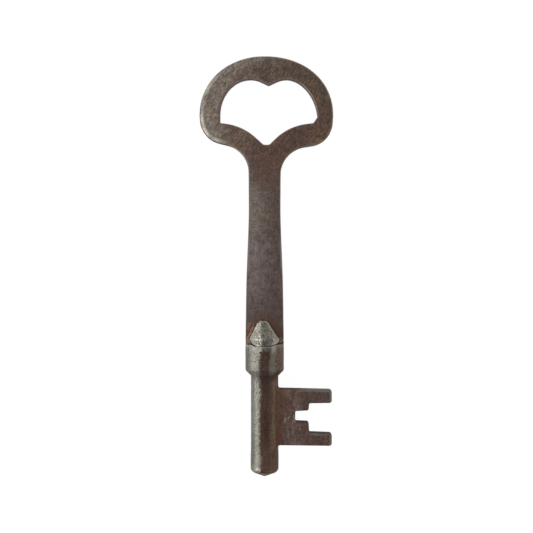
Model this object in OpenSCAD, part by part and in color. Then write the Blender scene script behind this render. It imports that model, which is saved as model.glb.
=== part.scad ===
// Skeleton key, built up from a stamped bow plate, a slotted round shank, a ferrule and a stepped bit.
// It lies flat, with +Z out of its front face, +Y along the shank towards the bow and +X towards the bit.
// The origin is on the shank's axis at the ferrule's lower rim. All sizes are in millimetres.

/* [Bow] */
// Thickness of the bow plate
plate_t = 2.2; // [1.6:0.1:3]
// Width of the bow
bow_w = 30.8; // [29:0.1:36]
// Height of the dome above the bow's widest level
dome_h = 13.65; // [12.5:0.05:18]
// Distance from the bow's widest level down to the neck
bow_drop = 15.8; // [15:0.1:20]
// Sideways shift of the bow off the shank's axis
bow_shift = 0.4; // [0:0.05:0.8]
// Sideways place of the dome's top, off the shank's axis
crest_x = -0.05; // [-0.5:0.05:0.8]
// Exponent of the dome's oval, where 2 is an ellipse
dome_power = 2.13; // [2:0.01:2.4]
// Corner radius of the left lobe
lobe_r_left = 5.9; // [4:0.1:6.5]
// Corner radius of the right lobe
lobe_r_right = 5.6; // [4:0.1:6]
// Depth of the left lobe's corner below the widest level
lobe_drop_left = 5.35; // [5:0.05:6.5]
// Depth of the right lobe's corner below the widest level
lobe_drop_right = 6.2; // [5:0.05:7]
// Distance that each lobe draws in below the widest level
lobe_inset = 0.35; // [0:0.05:1]
// Depth of the crotch between a lobe and the stem, below the widest level
crotch_drop = 8.1; // [7.5:0.1:9]
// Half width of the stem at the crotch, beyond its half width at the waist
crotch_flare = 0.1; // [0:0.1:1]
// Radius of the crotch on both sides of the neck
neck_r = 6.4; // [4:0.1:6.6]

/* [Eye] */
// Width of the rim above the eye
rim_top = 5.25; // [4:0.05:6]
// Width of the rim on the left of the eye
rim_left = 4.75; // [3:0.05:5.5]
// Width of the rim on the right of the eye
rim_right = 3.6; // [2.5:0.05:5]
// Distance between the crowns of the eye's two lobes
crown_gap = 8.4; // [7.4:0.1:9]
// Exponent of the right crown's oval, where 2 is an ellipse
crown_power = 1.84; // [1.7:0.02:2.2]
// Sideways place of the eye's cusp
cusp_x = 0.95; // [0.4:0.05:1.4]
// Depth of the cusp below the crowns
cusp_drop = 1.4; // [0.8:0.05:1.7]
// Slope of the flanks that run from the cusp up to the crowns
flank_angle = 26; // [24:1:32]
// Radius between each flank and its crown, at most
crown_r = 5.6; // [3:0.1:6]
// Height of the eye's widest level above its floor, on the left
eye_rise_left = 2; // [0.8:0.05:3]
// Height of the eye's widest level above its floor, on the right
eye_rise_right = 1.05; // [0.4:0.05:2]
// Depth of the eye's lower corners below the bow's widest level
floor_drop = 1.75; // [1:0.05:2.5]
// Radius of the eye's sharp corners
eye_corner_r = 0.25; // [0.1:0.05:0.4]
// Size of the cut across the eye's lower right corner
corner_cut = 1; // [0.6:0.05:1.6]
// Angle above the right crown's widest level at which the cut begins
cut_angle = 3; // [0:1:8]
// Distance of the left bulge of the eye's floor from the bow's middle
bulge_x_left = 5.5; // [5:0.1:6]
// Distance of the right bulge of the eye's floor from the bow's middle
bulge_x_right = 5.1; // [4.8:0.1:6]
// Depth of the left bulge below the eye's lower corners
bulge_drop_left = 0.6; // [0.2:0.05:1.2]
// Depth of the right bulge below the eye's lower corners
bulge_drop_right = 0.7; // [0.2:0.05:1.2]
// Radius of the bulges
bulge_r = 12.5; // [8:0.5:13]
// Depth of the eye's V below its lower corners
v_depth = 5; // [4:0.1:6]
// Width of the flat at the foot of the V
v_w = 1.3; // [0.8:0.1:1.6]

/* [Stem] */
// Length of the stem, from the ferrule to the neck
stem_len = 36.7; // [32:0.1:45]
// Width of the stem at the waist
waist_w = 7.35; // [6.4:0.05:8]
// Length of the straight waist below the neck
waist_len = 8; // [4:0.5:12]
// Width of the stem at its knee, where its sides steepen
knee_w = 8.4; // [7.8:0.1:8.6]
// Height of the knee above the ferrule
knee_rise = 14.2; // [10:0.1:18]
// Width of the stem's foot on the ferrule's rim
foot_w = 8.8; // [8.2:0.1:9]
// Width of the tang inside the ferrule
tang_w = 7; // [6.4:0.1:7.1]
// Length of the tang
tang_len = 5.4; // [4.6:0.1:5.6]

/* [Shank] */
// Diameter of the shank
shank_d = 6.35; // [5.8:0.05:6.6]
// Diameter of the slotted head
head_d = 7.6; // [7.4:0.1:8]
// Height of the shoulder that widens the shank to the head
head_rise = 1; // [0.6:0.1:1.4]
// Height of the head's pointed lips above the ferrule
lip_h = 5.4; // [4:0.1:7]
// Thickness of each lip at its tip
lip_tip_t = 0.15; // [0.1:0.05:0.4]
// Distance that the lips draw in at the ferrule's rim
lip_foot_in = 0.6; // [0.2:0.05:0.9]
// Height of the lips' widest level above the ferrule
lip_foot_h = 1.05; // [0.8:0.05:1.4]
// Distance that the lips draw in at their widest level
lip_inset = 0.2; // [0:0.05:0.5]
// Height of the flare above the lips' widest level
lip_flare_h = 0.75; // [0.5:0.05:1.3]
// Distance that the flare draws the lips in
lip_flare = 0.65; // [0.4:0.05:1]
// Diameter of the swollen tip
tip_d = 6.5; // [6.3:0.1:7]
// Length of the shank below the bit before it swells
swell_gap = 0.3; // [0.2:0.1:1]
// Length over which the shank swells to the tip
swell_len = 2.2; // [1.2:0.1:3]
// Length of the tip, from the swell to the edge of its point
tip_len = 3.5; // [3:0.05:6]
// Height of the tip's blunt point
point_h = 1.24; // [0.8:0.02:2]
// Radius of the edge round the point
point_edge_r = 1.1; // [0.4:0.1:1.3]
// Diameter of the flat at the end of the point
point_flat_d = 0.7; // [0.3:0.1:1.2]

/* [Ferrule] */
// Diameter of the ferrule
ferrule_d = 8.9; // [8.6:0.1:9.6]
// Height of the ferrule
ferrule_h = 7.3; // [6.6:0.1:9]
// Thickness left at the ferrule's lower rim
rim_t = 0.08; // [0.05:0.01:0.2]
// Radius between the ferrule's side and its slope
slope_r = 0.8; // [0.3:0.1:1.2]
// Radius of the ferrule's upper edge
upper_edge_r = 0.15; // [0.05:0.05:0.25]

/* [Bit] */
// Thickness of the bit
bit_t = 2.4; // [1.8:0.1:3]
// Reach of the bit from the shank's axis
bit_reach = 15.45; // [13:0.05:18]
// Gap between the ferrule and the bit
bit_gap = 3; // [2:0.1:6]
// Height of the upper tooth
upper_tooth_h = 3.4; // [2:0.1:4.5]
// Height of the step under the upper tooth
upper_step_h = 1.65; // [1:0.05:3]
// Height of the inner notch
notch_h = 2.5; // [1.6:0.1:4]
// Height of the step over the lower tooth
lower_step_h = 2.55; // [1:0.05:3]
// Height of the lower tooth
lower_tooth_h = 2.95; // [2:0.05:4.5]
// Place of the steps' walls, from the shank's axis
step_x = 10.25; // [9:0.05:12]
// Place of the inner notch's wall, from the shank's axis
notch_x = 7.05; // [5:0.05:8]
// Amount that a tooth's edge draws in over its length
draft = 0.13; // [0:0.01:0.3]
// Amount by which the bit's end hangs below its root
bit_lean = 0.14; // [0:0.01:0.3]
// Radius of the bit's outer corners
bit_corner_r = 0.6; // [0.1:0.05:0.8]
// Radius of the notch's corners
notch_r = 0.35; // [0.1:0.05:0.5]
// Radius of the corners between the steps and the notch
step_r = 0.5; // [0.1:0.05:0.7]
// Depth of the bit's tenon in the shank
tenon_depth = 1.875; // [1:0.025:2.2]

/* [Joints] */
// Diameter of the rivet through the tang
rivet_d = 1.6; // [1:0.1:2.2]
// Height of the rivet above the tang's end
rivet_rise = 2.6; // [1.8:0.1:3.2]
// Clearance of each fit, on every side
fit_gap = 0.02; // [0.01:0.01:0.04]
// Radius of the braze fillets on the bit's front and back
braze_r = 1.2; // [0.8:0.1:1.5]
// Radius of the braze fillets at the bit's upper and lower edge
braze_end_r = 0.45; // [0.2:0.05:0.8]
// Thickness of the braze at the edge of each fillet
braze_edge = 0.02; // [0.01:0.01:0.04]

/* [Hidden] */
$fn = 96;
// Sides of the braze's rounds, finer because its fillets are thin
braze_fn = 240;

// Angle between the points of an arc
arc_step = 6;
// Distance by which a cutting shape runs past what it cuts
over = 1;

// Radii
shank_r = shank_d / 2;
head_r = head_d / 2;
tip_r = tip_d / 2;
ferrule_r = ferrule_d / 2;
rivet_r = rivet_d / 2;

// Levels along the key, from the ferrule up to the bow's top
neck_y = ferrule_h + stem_len;
wide_y = neck_y + bow_drop;
top_y = wide_y + dome_h;
crown_y = top_y - rim_top;
floor_y = wide_y - floor_drop;
v_y = floor_y - v_depth;
knee_y = ferrule_h + knee_rise;
tang_y = ferrule_h - tang_len;
rivet_y = tang_y + rivet_rise;
lip_top_y = ferrule_h + lip_h;

// Levels along the key, from the ferrule down to the point
bit_top_y = -bit_gap;
upper_step_y = bit_top_y - upper_tooth_h;
notch_top_y = upper_step_y - upper_step_h;
notch_bottom_y = notch_top_y - notch_h;
lower_step_y = notch_bottom_y - lower_step_h;
bit_bottom_y = lower_step_y - lower_tooth_h;
swell_y = bit_bottom_y - swell_gap;
tip_y = swell_y - swell_len;
point_edge_y = tip_y - tip_len;

// Inner end of the bit's tenon
tenon_x = shank_r - tenon_depth;

// Sides of the bow and of its eye
bow_left = bow_shift - bow_w / 2;
bow_right = bow_shift + bow_w / 2;
eye_left = bow_left + rim_left;
eye_right = bow_right - rim_right;
crown_left = cusp_x - crown_gap / 2;
crown_right = cusp_x + crown_gap / 2;

function unit(v) = v / norm(v);

// Points of the arc of radius r that rounds the corner b between its neighbours a and c
function corner_arc(a, b, c, r) =
    let(
        u = unit(a - b),
        v = unit(c - b),
        half = acos(u * v) / 2,
        centre = b + unit(u + v) * r / sin(half),
        first = b + u * r / tan(half) - centre,
        last = b + v * r / tan(half) - centre,
        start = atan2(first.y, first.x),
        turn = (atan2(last.y, last.x) - start + 540) % 360 - 180,
        n = max(2, ceil(abs(turn) / arc_step))
    )
    [for (i = [0:n]) centre + r * [cos(start + turn * i / n), sin(start + turn * i / n)]];

// Closed path of corners [x, y, radius], each with a radius above 0 turned into an arc
function rounded(path) =
    let(n = len(path))
    [
        for (i = [0:n - 1])
            let(
                p = path[i],
                before = path[(i + n - 1) % n],
                after = path[(i + 1) % n],
                here = [p.x, p.y]
            )
            each p.z > 0
                ? corner_arc([before.x, before.y], here, [after.x, after.y], p.z)
                : [here]
    ];

// Corners along an oval of half axes a and b, from one angle to another
function oval(x, y, a, b, power, from, to) =
    let(n = ceil(abs(to - from) / arc_step))
    [
        for (i = [0:n])
            let(w = from + (to - from) * i / n, c = cos(w), s = sin(w))
            [
                x + a * sign(c) * pow(abs(c), 2 / power),
                y + b * sign(s) * pow(abs(s), 2 / power),
                0
            ]
    ];

// Solid turned about the key's axis from a section of [radius, y] points
module turned(section) {
    rotate([-90, 0, 0])
        rotate_extrude()
            polygon(section);
}

// Pin or hole across the key, through its middle plane
module cross_pin(y, r, length) {
    translate([0, y, -length / 2])
        cylinder(r = r, h = length);
}

// Slab of thickness t across the key's middle plane, between two corners in plan
module slab(from, to, t) {
    translate([from.x, from.y, -t / 2])
        cube([to.x - from.x, to.y - from.y, t]);
}

// Outline of the bow, the stem and the tang, in one piece
module bow_outline() {
    right_dome = oval(crest_x, wide_y, bow_right - crest_x, dome_h, dome_power, 0, 90 - arc_step);
    left_dome = oval(crest_x, wide_y, crest_x - bow_left, dome_h, dome_power, 90, 180);
    crotch_x = waist_w / 2 + crotch_flare;
    left = [
        [bow_left + lobe_inset, wide_y - lobe_drop_left, lobe_r_left],
        [-crotch_x, wide_y - crotch_drop, neck_r],
        [-waist_w / 2, neck_y, 0],
        [-waist_w / 2, neck_y - waist_len, 0],
        [-knee_w / 2, knee_y, 0],
        [-foot_w / 2, ferrule_h, 0],
        [-tang_w / 2, ferrule_h, 0],
        [-tang_w / 2, tang_y, 0]
    ];
    right = [
        [tang_w / 2, tang_y, 0],
        [tang_w / 2, ferrule_h, 0],
        [foot_w / 2, ferrule_h, 0],
        [knee_w / 2, knee_y, 0],
        [waist_w / 2, neck_y - waist_len, 0],
        [waist_w / 2, neck_y, 0],
        [crotch_x, wide_y - crotch_drop, neck_r],
        [bow_right - lobe_inset, wide_y - lobe_drop_right, lobe_r_right]
    ];
    polygon(rounded(concat(right_dome, left_dome, left, right)));
}

// Outline of the eye: two round crowns over a cusp, and a bulging floor that falls to a V
module eye_outline() {
    flank = cusp_drop / tan(flank_angle);
    // The round between flank and crown stays clear of the crown's top
    flank_r = min(crown_r, 0.98 * (crown_gap / 2 - flank) / tan(flank_angle / 2));
    left_y = floor_y + eye_rise_left;
    right_y = floor_y + eye_rise_right;
    left_crown = oval(crown_left, left_y, crown_left - eye_left, crown_y - left_y, 2, 180, 90);
    right_a = eye_right - crown_right;
    right_crown = oval(crown_right, right_y, right_a, crown_y - right_y, crown_power, 90, cut_angle);
    cusp = [
        [cusp_x - flank, crown_y, flank_r],
        [cusp_x, crown_y - cusp_drop, eye_corner_r],
        [cusp_x + flank, crown_y, flank_r]
    ];
    floor_path = [
        [eye_right - corner_cut, floor_y, eye_corner_r],
        [bow_shift + bulge_x_right, floor_y - bulge_drop_right, bulge_r],
        [bow_shift + v_w / 2, v_y, v_w / 2],
        [bow_shift - v_w / 2, v_y, v_w / 2],
        [bow_shift - bulge_x_left, floor_y - bulge_drop_left, bulge_r],
        [eye_left, floor_y, eye_corner_r]
    ];
    polygon(rounded(concat(left_crown, cusp, right_crown, floor_path)));
}

module bow_plate() {
    color([0.34, 0.29, 0.26])
        difference() {
            translate([0, 0, -plate_t / 2])
                linear_extrude(plate_t)
                    difference() {
                        bow_outline();
                        eye_outline();
                    }
            cross_pin(rivet_y, rivet_r + fit_gap, plate_t + 2 * over);
        }
}

// The shank and its head, before the slots and the rivet's hole are cut
module shank_bar() {
    foot_y = ferrule_h + lip_foot_h;
    foot_r = head_r - lip_inset;
    turned(rounded([
        [0, point_edge_y - point_h, 0],
        [point_flat_d / 2, point_edge_y - point_h, 0],
        [tip_r, point_edge_y, point_edge_r],
        [tip_r, tip_y, 0],
        [shank_r, swell_y, 0],
        [shank_r, 0, 0],
        [head_r, head_rise, 0],
        [head_r, ferrule_h - lip_foot_in, 0],
        [head_r - lip_foot_in, ferrule_h, 0],
        [foot_r, foot_y, 0.5],
        [foot_r - lip_flare, foot_y + lip_flare_h, 0],
        [plate_t / 2 + lip_tip_t, lip_top_y, 0],
        [0, lip_top_y, 0]
    ]));
}

module shank() {
    color([0.52, 0.49, 0.44])
        difference() {
            shank_bar();
            slab([-head_r - over, tang_y], [head_r + over, lip_top_y + over], plate_t);
            slab([tenon_x, bit_bottom_y], [shank_r + over, bit_top_y], bit_t);
            cross_pin(rivet_y, rivet_r + fit_gap, head_d + 2 * over);
        }
}

module ferrule() {
    bore_r = head_r + fit_gap;
    lower_bore_r = shank_r + fit_gap;
    rim_r = lower_bore_r + rim_t;
    color([0.48, 0.45, 0.4])
        turned(rounded([
            [lower_bore_r, 0, 0],
            [rim_r, 0, 0],
            [ferrule_r, ferrule_r - rim_r, slope_r],
            [ferrule_r, ferrule_h, upper_edge_r],
            [bore_r, ferrule_h, 0],
            [bore_r, head_rise, 0]
        ]));
}

// The stepped bit, from its tenon in the shank to its two teeth
module bit() {
    root_x = shank_r + braze_end_r;
    tooth_lean = bit_lean * (bit_reach - step_x) / (bit_reach - root_x);
    color([0.35, 0.28, 0.25])
        translate([0, 0, -bit_t / 2])
            linear_extrude(bit_t)
                polygon(rounded([
                    [tenon_x, bit_bottom_y, 0],
                    [root_x, bit_bottom_y, 0],
                    [bit_reach, bit_bottom_y - bit_lean, bit_corner_r],
                    [bit_reach, lower_step_y - tooth_lean - draft, bit_corner_r],
                    [step_x, lower_step_y, notch_r],
                    [step_x - draft, notch_bottom_y - draft, step_r],
                    [notch_x, notch_bottom_y, notch_r],
                    [notch_x, notch_top_y - draft, notch_r],
                    [step_x - draft, notch_top_y, step_r],
                    [step_x, upper_step_y, notch_r],
                    [bit_reach, upper_step_y - tooth_lean + draft, bit_corner_r],
                    [bit_reach, bit_top_y - bit_lean - draft, bit_corner_r],
                    [root_x, bit_top_y, 0],
                    [tenon_x, bit_top_y, 0]
                ]));
}

module tang_rivet() {
    color([0.55, 0.52, 0.48])
        cross_pin(rivet_y, rivet_r, 2 * (sqrt(head_r * head_r - rivet_r * rivet_r) - fit_gap));
}

// Hollow fillet along the bit's front, between the shank's round side and the bit's flat face
module side_fillet() {
    reach = braze_r - braze_edge;
    centre = [sqrt(pow(shank_r + reach, 2) - pow(bit_t / 2 + reach, 2)), bit_t / 2 + reach];
    on_shank = centre * shank_r / (shank_r + reach);
    translate([0, bit_top_y + braze_end_r, 0])
        rotate([90, 0, 0])
            linear_extrude(bit_top_y - bit_bottom_y + 2 * braze_end_r)
                difference() {
                    polygon([
                        [tenon_x, bit_t / 2],
                        [centre.x, bit_t / 2],
                        centre,
                        on_shank,
                        [tenon_x, on_shank.y]
                    ]);
                    translate(centre)
                        circle(r = braze_r);
                }
}

// Hollow fillet across the bit's upper edge, at its root
module end_fillet() {
    centre = [shank_r + braze_end_r - braze_edge, bit_top_y + braze_end_r - braze_edge];
    width = bit_t + 2 * braze_edge;
    translate([0, 0, -width / 2])
        linear_extrude(width)
            difference() {
                translate([tenon_x, bit_top_y])
                    square([centre.x - tenon_x, braze_end_r - braze_edge]);
                translate(centre)
                    circle(r = braze_end_r);
            }
}

module bit_braze() {
    $fn = braze_fn;
    bit_middle_y = (bit_top_y + bit_bottom_y) / 2;
    color([0.42, 0.27, 0.17])
        difference() {
            union() {
                side_fillet();
                mirror([0, 0, 1])
                    side_fillet();
                end_fillet();
                translate([0, 2 * bit_middle_y, 0])
                    mirror([0, 1, 0])
                        end_fillet();
            }
            shank_bar();
        }
}

bow_plate();
shank();
ferrule();
bit();
tang_rivet();
bit_braze();
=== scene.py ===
"""Looks of a skeleton key: worn steel under a brown patina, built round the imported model.

The key lies flat, with +Z out of its front face, +Y along the shank towards the bow and +X towards the bit.
Lengths are in millimetres, and become metres where a mesh, a bump, a lamp or the camera is made.
"""
import math

import bpy
import numpy as np
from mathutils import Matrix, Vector, geometry, kdtree, noise


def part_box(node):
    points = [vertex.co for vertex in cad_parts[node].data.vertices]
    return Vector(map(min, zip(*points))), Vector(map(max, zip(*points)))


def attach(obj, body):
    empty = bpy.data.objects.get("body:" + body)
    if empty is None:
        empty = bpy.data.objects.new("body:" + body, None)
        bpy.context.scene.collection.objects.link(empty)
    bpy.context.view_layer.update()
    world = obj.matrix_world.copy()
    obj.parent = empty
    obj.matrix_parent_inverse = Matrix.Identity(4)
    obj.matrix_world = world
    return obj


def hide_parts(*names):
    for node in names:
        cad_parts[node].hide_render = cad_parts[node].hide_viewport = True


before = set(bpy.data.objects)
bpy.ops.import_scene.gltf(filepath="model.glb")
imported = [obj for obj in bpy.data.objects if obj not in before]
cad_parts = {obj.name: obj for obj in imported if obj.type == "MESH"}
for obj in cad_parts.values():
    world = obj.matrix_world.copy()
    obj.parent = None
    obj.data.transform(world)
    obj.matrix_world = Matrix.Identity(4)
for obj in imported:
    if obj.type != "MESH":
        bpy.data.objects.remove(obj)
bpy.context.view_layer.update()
scene = bpy.context.scene

MM = 0.001


def box_mm(node):
    """Lowest and highest corner of a CAD node, in millimetres."""
    low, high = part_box(node)
    return Vector(low) / MM, Vector(high) / MM


# Sizes read from the frame
plate_high = box_mm("bow_plate")[1]
shank_low, shank_high = box_mm("shank")
ferrule_high = box_mm("ferrule")[1]
bit_low, bit_high = box_mm("bit")
plate_half_t = plate_high.z
bit_half_t = bit_high.z
head_r = shank_high.x
ferrule_r = ferrule_high.x
ferrule_h = ferrule_high.y
lip_top_y = shank_high.y
point_y = shank_low.y

# Sizes of the turned parts
HEAD_FOOT_Y = 1.0
HEAD_UNDER_RIM = 1.0
SHANK_R = 3.175
TIP_R = 3.25
SWELL_Y = -16.35
TIP_Y = -18.55
POINT_H = 1.24
POINT_EDGE_R = 1.1
POINT_FLAT_R = 0.35
SLOPE_R = 0.8
RIM_T = 0.1
RIM_EDGE_R = 0.2
FIT_GAP = 0.02

# The ferrule's upper rim dips at the front and back, and stands lower on its left
RIM_DIP = 0.36
RIM_TILT = 0.12

# The lips above the ferrule: widest a little above the rim, then hollow-sided to a round tip
LIP_WIDE_H = 1.15
LIP_WIDE_R = 3.57
LIP_FOOT_R = 3.77
LIP_CORNER_W = 0.85
LIP_CORNER_H = 1.0
LIP_END_R = 1.57
LIP_HOLLOW = 1.3
LIP_TIP_R = 0.75
LIP_LEAN = 0.4
LIP_FLATNESS = 0.75
LIP_RIDGE_X = 0.32

# The level where the lips are widest
lip_wide_y = ferrule_h + LIP_WIDE_H

# How far the lips reach down inside the ferrule, and how deep they lie in the plate's face
LIP_INSIDE = 1.3
LIP_SUNK = 0.06

# Rounding of the plate's edges on the tang, on the stem and in the eye, on the bow, and on its worn left
TANG_EDGE_R = 0.1
STEM_EDGE_R = 0.2
BOW_EDGE_R = 0.4
WORN_EDGE_R = 0.9

# Rounding of the bit's edges, and how far its faces fall away towards them
BIT_EDGE_R = 0.28
BIT_FALL = 0.02

# Centre and half axes of an ellipse that lies between the eye's edge and the bow's
EYE_CENTRE = (0.4, 61.5)
EYE_REACH = (11.9, 8.9)

# The braze's fillet: its width, how deep its root lies, how far its skin is lifted off the joint, and how
# far it keeps inside the bit's upper and lower edge
BRAZE_WIDTH = 0.6
BRAZE_SUNK = 0.25
BRAZE_LIFT = 0.015
BRAZE_TOP_GAP = 0.02
BRAZE_FOOT_GAP = 0.17

# The photograph's view: straight down on the key's middle plane
VIEW_CENTRE = (0.43, 25.06)
VIEW_WIDTH = 123.1
CAMERA_Z = 200.0

# Width of the strip in which a face falls away towards its outline
FALL_WIDTH = 2.2

# A distance that stands for no edge near
FAR = 9.0

# Depth taken off every face under its relief, so that each piece stays inside the CAD model
SKIN = 0.01

# Points on the plates' faces: rings along the rounded edge, and a loose grid within them. Each ring keeps
# a share of its own distance from the outline, and the grid a share of its spacing from the rounding.
RING_COUNT = 5
RING_CLEAR = 0.92
GRID_CLEAR = 0.6
GRID_PLAY = 0.2
GRID_SEED = 11


def unit(v):
    """The vector with a length of 1."""
    return v / np.linalg.norm(v)


def smooth_step(low, high, value):
    """0 below low, 1 above high, and an even S between them."""
    t = np.clip((value - low) / (high - low), 0, 1)
    return t * t * (3 - 2 * t)


def corner_arc(a, b, c, r, step=6):
    """Points of the arc of radius r that rounds the corner b between its neighbours a and c."""
    u, v = unit(a - b), unit(c - b)
    half = math.acos(np.clip(u @ v, -1, 1)) / 2
    centre = b + unit(u + v) * r / math.sin(half)
    first = b + u * r / math.tan(half) - centre
    last = b + v * r / math.tan(half) - centre
    start = math.atan2(first[1], first[0])
    turn = (math.atan2(last[1], last[0]) - start + 3 * math.pi) % (2 * math.pi) - math.pi
    n = max(2, math.ceil(abs(math.degrees(turn)) / step))
    angles = start + turn * np.arange(n + 1) / n
    return [centre + r * np.array([math.cos(w), math.sin(w)]) for w in angles]


def rounded(path):
    """An open path of corners (x, y, radius), each with a radius above 0 turned into an arc."""
    points = []
    for i, (x, y, r) in enumerate(path):
        here = np.array([x, y])
        if r > 0:
            points += corner_arc(np.array(path[i - 1][:2]), here, np.array(path[i + 1][:2]), r)
        else:
            points.append(here)
    return points


def divided(path, spacing):
    """The path again with its longer steps cut to at most the spacing."""
    points = [path[0]]
    for a, b in zip(path, path[1:]):
        n = max(1, math.ceil(np.linalg.norm(b - a) / spacing))
        points += [a + (b - a) * i / n for i in range(1, n + 1)]
    return np.array(points)


def outline_loops(node):
    """Closed loops of points round the flat front face of a CAD node, its holes included."""
    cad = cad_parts[node]
    matrix = cad.matrix_world
    places = [matrix @ v.co / MM for v in cad.data.vertices]
    top = max(p.z for p in places)
    keys = [(round(p.x, 3), round(p.y, 3)) if top - p.z < 1e-3 else None for p in places]
    follows = {}
    for face in cad.data.polygons:
        corners = [keys[i] for i in face.vertices]
        if None in corners:
            continue
        for a, b in zip(corners, corners[1:] + corners[:1]):
            if not follows.pop((b, a), False):
                follows[(a, b)] = True
    step = dict(follows.keys())
    loops = []
    while step:
        start, here = next(iter(step.items()))
        del step[start]
        loop = [start]
        while here != start:
            loop.append(here)
            here = step.pop(here)
        loops.append(np.array(loop))
    return loops


def resampled(loop, spacing, corner=math.radians(20)):
    """A closed loop as a smooth curve through its points, evenly spaced, with its sharp corners kept."""
    n = len(loop)
    after = np.roll(loop, -1, axis=0) - loop
    lengths = np.linalg.norm(after, axis=1)
    heading = np.arctan2(after[:, 1], after[:, 0])
    turn = (heading - np.roll(heading, 1) + math.pi) % (2 * math.pi) - math.pi
    sharp = np.abs(turn) > corner
    chord = np.roll(loop, -1, axis=0) - np.roll(loop, 1, axis=0)
    tangent = chord / np.linalg.norm(chord, axis=1)[:, None]
    first = int(np.argmax(sharp))
    curve, marks = [], []
    for k in range(n):
        i, j = (first + k) % n, (first + k + 1) % n
        line = after[i] / lengths[i]
        out = line if sharp[i] else tangent[i]
        into = line if sharp[j] else tangent[j]
        pieces = max(1, math.ceil(lengths[i] / (spacing / 4)))
        t = np.arange(pieces)[:, None] / pieces
        curve.append(
            (2 * t**3 - 3 * t**2 + 1) * loop[i]
            + (t**3 - 2 * t**2 + t) * lengths[i] * out
            + (3 * t**2 - 2 * t**3) * loop[j]
            + (t**3 - t**2) * lengths[i] * into
        )
        marks += [bool(sharp[i])] + [False] * (pieces - 1)
    curve = np.concatenate(curve + [curve[0][:1]])
    marks = np.array(marks + [True])
    along = np.concatenate([[0], np.cumsum(np.linalg.norm(np.diff(curve, axis=0), axis=1))])
    stops = sorted({0.0, *along[marks]})
    places = []
    for a, b in zip(stops, stops[1:]):
        count = max(1, round((b - a) / spacing))
        places += list(a + (b - a) * np.arange(count) / count)
    return np.stack([np.interp(places, along, curve[:, i]) for i in (0, 1)], axis=1)


def inside(loops, points):
    """Whether each point lies inside the loops, by the even-odd rule."""
    result = np.zeros(len(points), dtype=bool)
    x, y = points[:, 0], points[:, 1]
    for loop in loops:
        for a, b in zip(loop, np.roll(loop, -1, axis=0)):
            crosses = (a[1] > y) != (b[1] > y)
            if not crosses.any():
                continue
            at = a[0] + (y - a[1]) / (b[1] - a[1] if b[1] != a[1] else 1) * (b[0] - a[0])
            result ^= crosses & (at > x)
    return result


def inward(loop):
    """Unit normals at the loop's points, towards the solid, for loops that turn as the CAD face does."""
    along = np.roll(loop, -1, axis=0) - np.roll(loop, 1, axis=0)
    along /= np.linalg.norm(along, axis=1)[:, None]
    return np.stack([-along[:, 1], along[:, 0]], axis=1)


def new_object(name, data):
    """An object of that data, in the scene."""
    obj = bpy.data.objects.new(name, data)
    scene.collection.objects.link(obj)
    return obj


def make_object(name, verts, faces, **attributes):
    """A mesh object from points in millimetres, with float attributes on its points."""
    mesh = bpy.data.meshes.new(name)
    mesh.from_pydata([Vector(v) * MM for v in verts], [], faces)
    mesh.validate()
    for key, values in attributes.items():
        layer = mesh.attributes.new(key, "FLOAT", "POINT")
        layer.data.foreach_set("value", np.asarray(values, dtype=np.float32))
    mesh.shade_smooth()
    return new_object(name, mesh)


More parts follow.
